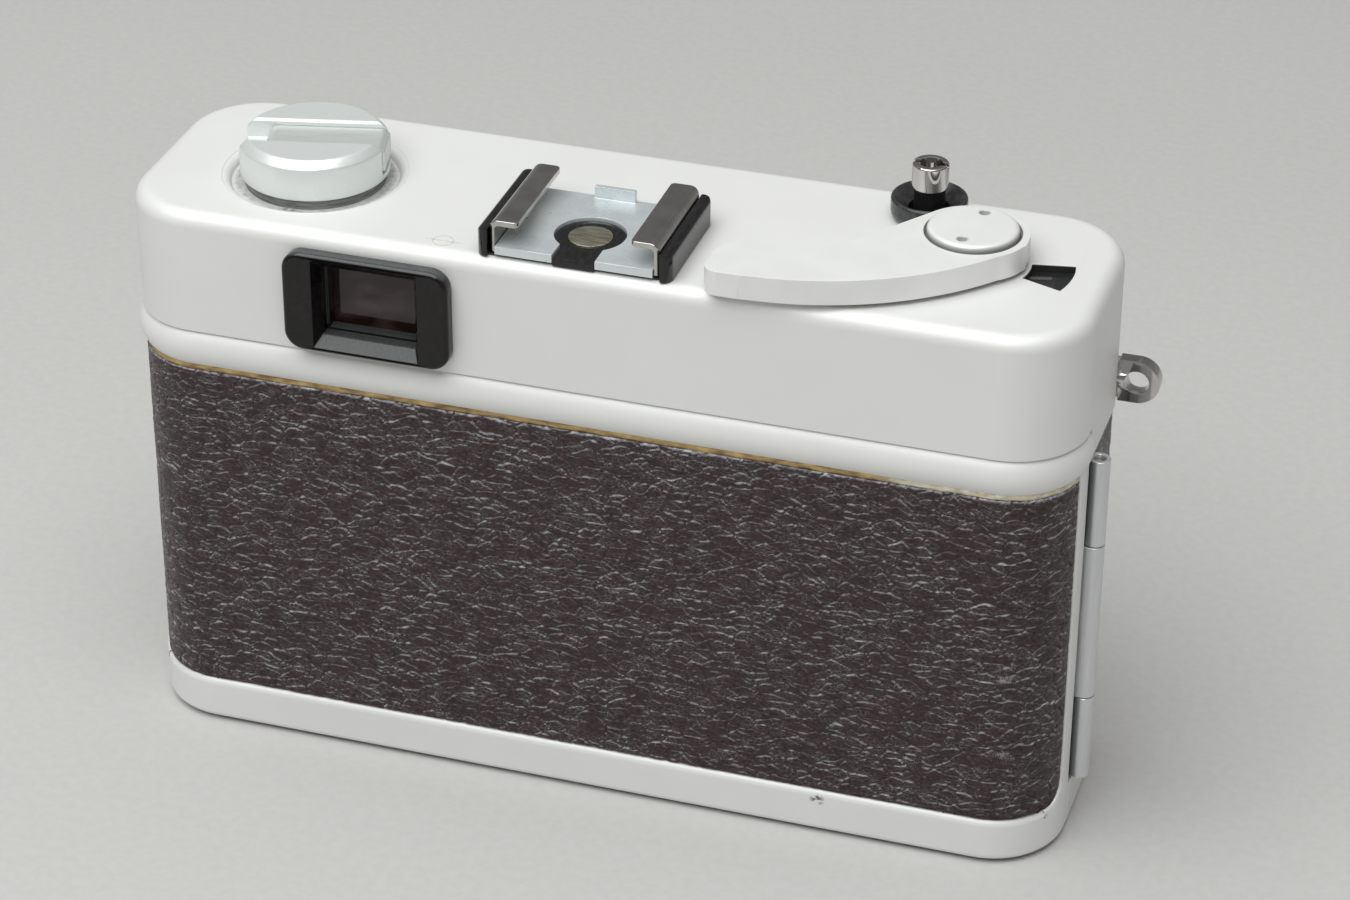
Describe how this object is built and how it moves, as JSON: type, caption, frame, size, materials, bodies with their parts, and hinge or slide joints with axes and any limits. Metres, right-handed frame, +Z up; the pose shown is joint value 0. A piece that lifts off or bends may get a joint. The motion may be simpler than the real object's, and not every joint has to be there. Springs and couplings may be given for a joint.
{
  "type": "half frame camera",
  "caption": "Compact half frame film camera with a hinged rear door, wind lever, folding rewind crank, accessory shoe and fixed lens.",
  "frame": {"origin": "mouth of the tripod socket, in the plane of the base, at the middle of the body's width and depth", "axes": "+X to the right seen from behind the camera, +Y forward along the lens axis, +Z up"},
  "size_m": [0.123, 0.0499, 0.0765],
  "materials": {
    "cast_alloy": "black enamelled casting",
    "satin_silver": "satin plated sheet",
    "leatherette": "pebbled covering",
    "plain_steel": "plain",
    "bright_plate": "bright plated",
    "turned_alloy": "fine turned and brushed",
    "zinc_plate": "satin",
    "black_metal": "satin black",
    "black_plastic": "gloss",
    "dull_plastic": "matt",
    "brass_parts": "plain",
    "clear_glass": "polished"
  },
  "bodies": {
    "body": {"chassis": "cast_alloy", "cassette_block": "cast_alloy", "take_up_block": "cast_alloy", "film_gate": "cast_alloy", "top_cover": "satin_silver", "base_plate": "satin_silver", "front_leatherette": "leatherette", "body_hinge_leaf": "plain_steel", "hinge_pin": "plain_steel", "rewind_collar": "zinc_plate", "counter_window": "clear_glass", "release_collar": "black_plastic", "release_spring": "plain_steel", "shoe_floor": "zinc_plate", "shoe_rails": "bright_plate", "shoe_insulator": "dull_plastic", "shoe_contact": "brass_parts", "eyepiece_frame": "black_plastic", "eyepiece_glass": "clear_glass", "viewfinder_tube": "dull_plastic", "viewfinder_bezel": "black_plastic", "viewfinder_window": "clear_glass", "lens_flange": "satin_silver", "shutter_housing": "black_metal", "rear_lens": "clear_glass", "strap_lug_left": "bright_plate", "strap_lug_right": "bright_plate", "tripod_socket": "brass_parts", "base_screws": "plain_steel"},
    "door": {"rear_door": "satin_silver", "door_leatherette": "leatherette", "door_hinge_leaf": "plain_steel", "pressure_spring": "plain_steel", "door_catch": "plain_steel"},
    "pressure": {"pressure_plate": "black_metal"},
    "latch": {"latch_bar": "plain_steel"},
    "rewind": {"rewind_shaft": "plain_steel", "rewind_knob": "turned_alloy", "crank_pin": "plain_steel"},
    "crank": {"rewind_crank": "turned_alloy"},
    "wind": {"wind_lever": "turned_alloy", "lever_cap": "turned_alloy", "wind_shaft": "plain_steel", "wind_gear": "brass_parts"},
    "idler": {"idler_gear": "plain_steel"},
    "sprocket": {"film_sprocket": "plain_steel", "sprocket_gear": "brass_parts"},
    "counter": {"frame_counter": "dull_plastic"},
    "spool": {"take_up_spool": "black_plastic"},
    "release": {"release_button": "bright_plate", "release_shaft": "black_metal"},
    "rewind_release": {"rewind_button": "plain_steel"},
    "exposure": {"exposure_ring": "turned_alloy"},
    "focus": {"focus_ring": "black_metal"},
    "cell": {"lens_cell": "black_metal", "lens_bezel": "black_metal", "front_lens": "clear_glass"},
    "blade_upper": {"shutter_blade_upper": "black_metal"},
    "blade_lower": {"shutter_blade_lower": "black_metal"}
  },
  "joints": [
    {"name": "door_swing", "type": "hinge", "parent": "body", "child": "door", "pos_m": [0.0573, -0.00355, 0.0281], "axis": [0, 0, 1], "range_deg": [0, 130]},
    {"name": "plate_float", "type": "slide", "parent": "door", "child": "pressure", "axis": [0, -1, 0], "range_m": [0, 0.0008], "stiffness_N_per_m": 300, "springref_m": -0.001, "deforming": ["pressure_spring"]},
    {"name": "latch_lift", "type": "slide", "parent": "body", "child": "latch", "axis": [0, 0, 1], "range_m": [0, 0.006], "stiffness_N_per_m": 150, "springref_m": -0.002},
    {"name": "rewind_turn", "type": "hinge", "parent": "latch", "child": "rewind", "pos_m": [-0.0372, -0.001, 0.06995], "axis": [0, 0, 1], "continuous": true},
    {"name": "crank_fold", "type": "hinge", "parent": "rewind", "child": "crank", "pos_m": [-0.04177, -0.0021, 0.0733], "axis": [0.2334, -0.9724, 0], "range_deg": [0, 170]},
    {"name": "wind_stroke", "type": "hinge", "parent": "body", "child": "wind", "pos_m": [0.0406, 0.00085, 0.0702], "axis": [0, 0, 1], "range_deg": [0, 130], "stiffness_Nm_per_rad": 0.01, "springref_deg": -20.05},
    {"name": "idler_turn", "type": "hinge", "parent": "body", "child": "idler", "pos_m": [0.02721, 0.00495, 0.057], "axis": [0, 0, 1], "range_deg": [-234.1, 0.1]},
    {"name": "sprocket_turn", "type": "hinge", "parent": "body", "child": "sprocket", "pos_m": [0.0218, -0.0052, 0.057], "axis": [0, 0, 1], "range_deg": [-0.1, 180.1]},
    {"name": "counter_turn", "type": "hinge", "parent": "body", "child": "counter", "pos_m": [0.0406, 0.00085, 0.0667], "axis": [0, 0, 1], "range_deg": [-0.1, 5.1]},
    {"name": "spool_turn", "type": "hinge", "parent": "body", "child": "spool", "pos_m": [0.0406, 0.00085, 0.0276], "axis": [0, 0, 1], "range_deg": [-0.1, 130.1]},
    {"name": "release_press", "type": "slide", "parent": "body", "child": "release", "axis": [0, 0, -1], "range_m": [0, 0.002], "stiffness_N_per_m": 300, "springref_m": -0.001, "deforming": ["release_spring"]},
    {"name": "rewind_release_press", "type": "slide", "parent": "body", "child": "rewind_release", "axis": [0, 0, 1], "range_m": [0, 0.0012], "stiffness_N_per_m": 200, "springref_m": -0.001},
    {"name": "exposure_turn", "type": "hinge", "parent": "body", "child": "exposure", "pos_m": [0, 0.02, 0.028], "axis": [0, 1, 0], "range_deg": [0, 150]},
    {"name": "cell_slide", "type": "slide", "parent": "body", "child": "cell", "axis": [0, 1, 0], "range_m": [0, 0.0018]},
    {"name": "focus_turn", "type": "hinge", "parent": "body", "child": "focus", "pos_m": [0, 0.0255, 0.028], "axis": [0, 1, 0], "range_deg": [-0.1, 100.1]},
    {"name": "blade_upper_turn", "type": "hinge", "parent": "body", "child": "blade_upper", "pos_m": [0, 0.0189, 0.04], "axis": [0, -1, 0], "range_deg": [-0.1, 40.1]},
    {"name": "blade_lower_turn", "type": "hinge", "parent": "body", "child": "blade_lower", "pos_m": [0, 0.0195, 0.016], "axis": [0, -1, 0], "range_deg": [-0.1, 40.1]}
  ],
  "couplings": [
    {"joint": "idler_turn", "follows": "wind_stroke", "ratio": -1.8},
    {"joint": "sprocket_turn", "follows": "wind_stroke", "ratio": 1.3846},
    {"joint": "counter_turn", "follows": "wind_stroke", "ratio": 0.038462},
    {"joint": "spool_turn", "follows": "wind_stroke", "ratio": 1},
    {"joint": "focus_turn", "follows": "cell_slide", "rad_per_m": 969.63},
    {"joint": "blade_upper_turn", "follows": "release_press", "rad_per_m": 349.07},
    {"joint": "blade_lower_turn", "follows": "release_press", "rad_per_m": 349.07}
  ]
}
